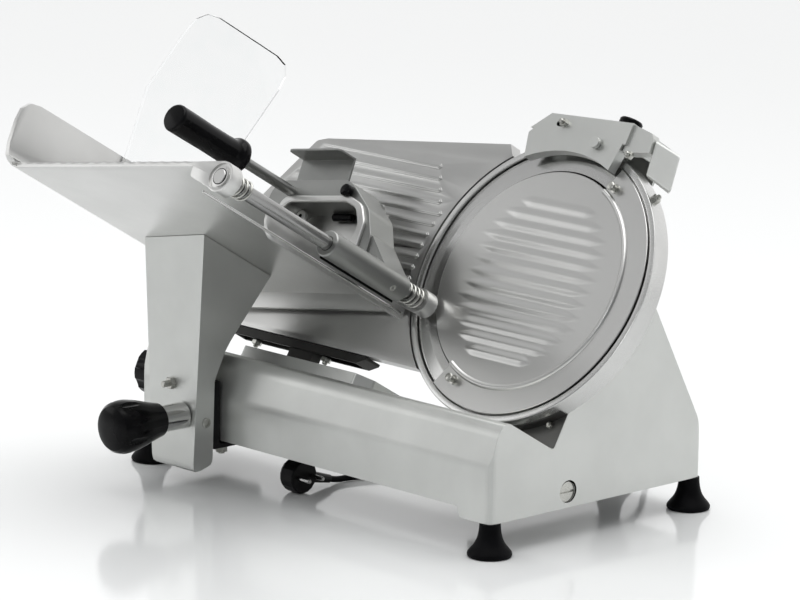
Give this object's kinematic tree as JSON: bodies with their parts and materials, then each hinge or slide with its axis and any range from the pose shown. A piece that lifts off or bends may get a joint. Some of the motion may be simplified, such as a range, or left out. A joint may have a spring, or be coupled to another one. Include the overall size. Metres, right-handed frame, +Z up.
{
  "type": "gravity feed meat slicer",
  "caption": "Food slicer with a tilted round blade in a guard ring, a ribbed gauge plate, a sliding carriage with tray and pusher, and a sharpener hood.",
  "frame": {"origin": "on the standing surface, under the middle of the object without its mains cord", "axes": "+Z up; +X along the carriage's travel, from the end with the thickness knob to the end with the motor tower; +Y from the food tray towards the back of the tower"},
  "size_m": [0.6352, 0.6739, 0.4927],
  "materials": {
    "base_housing": "fine cast and blasted aluminium",
    "blade_cover": "brushed anodised aluminium",
    "cord_coil": "extruded sheath",
    "carriage_tray": "satin anodised aluminium",
    "gauge_plate": "satin anodised aluminium",
    "guard_ring": "satin anodised aluminium",
    "pusher_body": "cast aluminium",
    "lock_knob": "black moulded plastic",
    "blade": "ground and polished steel",
    "sharpener_hood": "cast aluminium",
    "thickness_knob": "black moulded plastic",
    "cord_to_plug": "extruded sheath",
    "thickness_scroll": "machined aluminium",
    "pusher_grip": "black moulded plastic",
    "cover_tie_rod": "blackened steel",
    "mains_plug": "black moulded plastic",
    "press_plate": "satin anodised aluminium",
    "driven_pulley": "turned aluminium",
    "buffer_spring_outer": "spring steel wire",
    "buffer_spring_inner": "spring steel wire",
    "motor_bracket": "dark paint",
    "foot_front_left": "moulded rubber",
    "foot_front_right": "moulded rubber",
    "foot_rear_left": "moulded rubber",
    "foot_rear_right": "moulded rubber",
    "carriage_arm": "blasted cast aluminium",
    "drive_belt": "moulded rubber",
    "access_plug": "turned steel",
    "blade_spindle": "turned steel",
    "bearing_housing": "cast aluminium",
    "motor": "dark paint",
    "lock_sleeve": "turned steel",
    "strain_relief": "moulded rubber",
    "runner_block": "cast aluminium",
    "gauge_slide": "cast aluminium",
    "pusher_lock_screw": "black moulded plastic",
    "bearing_front": "ground steel",
    "bearing_rear": "ground steel",
    "motor_pulley": "blackened steel",
    "clamp_knob": "black moulded plastic",
    "grinding_stone": "bonded abrasive",
    "truing_stone": "bonded abrasive",
    "slide_bush": "sintered bronze",
    "bracket_bolt": "zinc-plated steel",
    "gauge_guide": "ground steel",
    "bottom_cover": "brushed steel sheet",
    "switch_case": "black moulded plastic",
    "cord_from_base": "extruded sheath",
    "grinding_shaft": "turned steel",
    "truing_shaft": "turned steel",
    "pusher_rod": "polished steel",
    "sharpener_post": "ground steel",
    "slide_rod": "ground steel",
    "steady_rod": "ground steel",
    "hand_shield": "clear acrylic sheet",
    "sharpener_box": "cast aluminium",
    "gauge_carrier": "dark grey paint",
    "start_button": "green moulded plastic",
    "stop_button": "red moulded plastic",
    "slide_bracket": "black paint"
  },
  "bodies": {
    "base": {"base_housing": "base_housing", "blade_cover": "blade_cover", "cord_coil": "cord_coil", "guard_ring": "guard_ring", "cord_to_plug": "cord_to_plug", "mains_plug": "mains_plug", "motor_bracket": "motor_bracket", "foot_front_left": "foot_front_left", "foot_front_right": "foot_front_right", "foot_rear_left": "foot_rear_left", "foot_rear_right": "foot_rear_right", "drive_belt": "drive_belt", "access_plug": "access_plug", "bearing_housing": "bearing_housing", "motor": "motor", "strain_relief": "strain_relief", "bearing_front": "bearing_front", "bearing_rear": "bearing_rear", "gauge_guide": "gauge_guide", "bottom_cover": "bottom_cover", "switch_case": "switch_case", "cord_from_base": "cord_from_base", "sharpener_post": "sharpener_post", "slide_rod": "slide_rod", "steady_rod": "steady_rod"},
    "carriage": {"runner_block": "runner_block", "slide_bush": "slide_bush", "slide_bracket": "slide_bracket", "bracket_bolt": "bracket_bolt", "carriage_arm": "carriage_arm", "lock_sleeve": "lock_sleeve", "carriage_tray": "carriage_tray", "hand_shield": "hand_shield"},
    "arm_lock": {"lock_knob": "lock_knob"},
    "pusher_shaft": {"pusher_rod": "pusher_rod", "buffer_spring_outer": "buffer_spring_outer", "buffer_spring_inner": "buffer_spring_inner"},
    "pusher": {"pusher_body": "pusher_body", "press_plate": "press_plate", "pusher_grip": "pusher_grip"},
    "pusher_screw": {"pusher_lock_screw": "pusher_lock_screw"},
    "gauge": {"gauge_plate": "gauge_plate", "gauge_carrier": "gauge_carrier", "gauge_slide": "gauge_slide"},
    "thickness": {"thickness_knob": "thickness_knob", "thickness_scroll": "thickness_scroll"},
    "cutter": {"blade": "blade", "blade_spindle": "blade_spindle", "driven_pulley": "driven_pulley"},
    "motor_rotor": {"motor_pulley": "motor_pulley"},
    "tie_rod": {"cover_tie_rod": "cover_tie_rod"},
    "sharpener": {"sharpener_hood": "sharpener_hood", "sharpener_box": "sharpener_box"},
    "sharpener_clamp": {"clamp_knob": "clamp_knob"},
    "grinder": {"grinding_stone": "grinding_stone", "grinding_shaft": "grinding_shaft"},
    "truer": {"truing_stone": "truing_stone", "truing_shaft": "truing_shaft"},
    "start": {"start_button": "start_button"},
    "stop": {"stop_button": "stop_button"}
  },
  "joints": [
    {"name": "carriage_slide", "type": "slide", "parent": "base", "child": "carriage", "axis": [1, 0, 0], "range_m": [0, 0.29]},
    {"name": "arm_lock_turn", "type": "hinge", "parent": "carriage", "child": "arm_lock", "pos_m": [-0.17335, -0.14057, 0.0778], "axis": [0, 1, 0], "range_deg": [0, 720]},
    {"name": "pusher_swing", "type": "hinge", "parent": "carriage", "child": "pusher_shaft", "pos_m": [0.04068, -0.09602, 0.29926], "axis": [0, 0.8609, -0.5087], "range_deg": [0, 100]},
    {"name": "pusher_slide", "type": "slide", "parent": "pusher_shaft", "child": "pusher", "axis": [0, -0.8609, 0.5087], "range_m": [0, 0.12]},
    {"name": "pusher_screw_turn", "type": "hinge", "parent": "pusher", "child": "pusher_screw", "pos_m": [-0.04139, 0.01337, 0.32712], "axis": [0, 0.8609, -0.5087], "range_deg": [0, 360]},
    {"name": "gauge_slide_in", "type": "slide", "parent": "base", "child": "gauge", "axis": [0, 0.8609, -0.5087], "range_m": [0, 0.015]},
    {"name": "thickness_turn", "type": "hinge", "parent": "base", "child": "thickness", "pos_m": [-0.29135, -0.02857, 0.0924], "axis": [1, 0, 0], "range_deg": [0, 330.01]},
    {"name": "blade_spin", "type": "hinge", "parent": "base", "child": "cutter", "pos_m": [0.15865, 0.10365, 0.24402], "axis": [0, 0.8609, -0.5087], "continuous": true},
    {"name": "motor_spin", "type": "hinge", "parent": "base", "child": "motor_rotor", "pos_m": [0.18865, 0.08545, 0.14443], "axis": [0, 0.8609, -0.5087], "continuous": true},
    {"name": "tie_rod_turn", "type": "hinge", "parent": "base", "child": "tie_rod", "pos_m": [0.15865, 0.21557, 0.17789], "axis": [0, 0.8609, -0.5087], "range_deg": [0, 720]},
    {"name": "sharpener_lift", "type": "slide", "parent": "base", "child": "sharpener", "axis": [0, 0.5087, 0.8609], "range_m": [0, 0.035]},
    {"name": "sharpener_clamp_turn", "type": "hinge", "parent": "sharpener", "child": "sharpener_clamp", "pos_m": [0.17065, 0.21581, 0.39844], "axis": [0, 0.5087, 0.8609], "range_deg": [0, 360]},
    {"name": "grinding_push", "type": "slide", "parent": "sharpener", "child": "grinder", "axis": [0, -0.8609, 0.5087], "range_m": [0, 0.0026], "stiffness_N_per_m": 400, "springref_m": -0.005},
    {"name": "truing_push", "type": "slide", "parent": "sharpener", "child": "truer", "axis": [0, 0.8609, -0.5087], "range_m": [0, 0.0026], "stiffness_N_per_m": 400, "springref_m": -0.005},
    {"name": "start_press", "type": "slide", "parent": "base", "child": "start", "axis": [1, 0, 0], "range_m": [0, 0.003], "stiffness_N_per_m": 300, "springref_m": -0.002},
    {"name": "stop_press", "type": "slide", "parent": "base", "child": "stop", "axis": [1, 0, 0], "range_m": [0, 0.003], "stiffness_N_per_m": 300, "springref_m": -0.002}
  ],
  "couplings": [
    {"joint": "thickness_turn", "follows": "gauge_slide_in", "rad_per_m": 383.97},
    {"joint": "motor_spin", "follows": "blade_spin", "ratio": 2.6364}
  ]
}
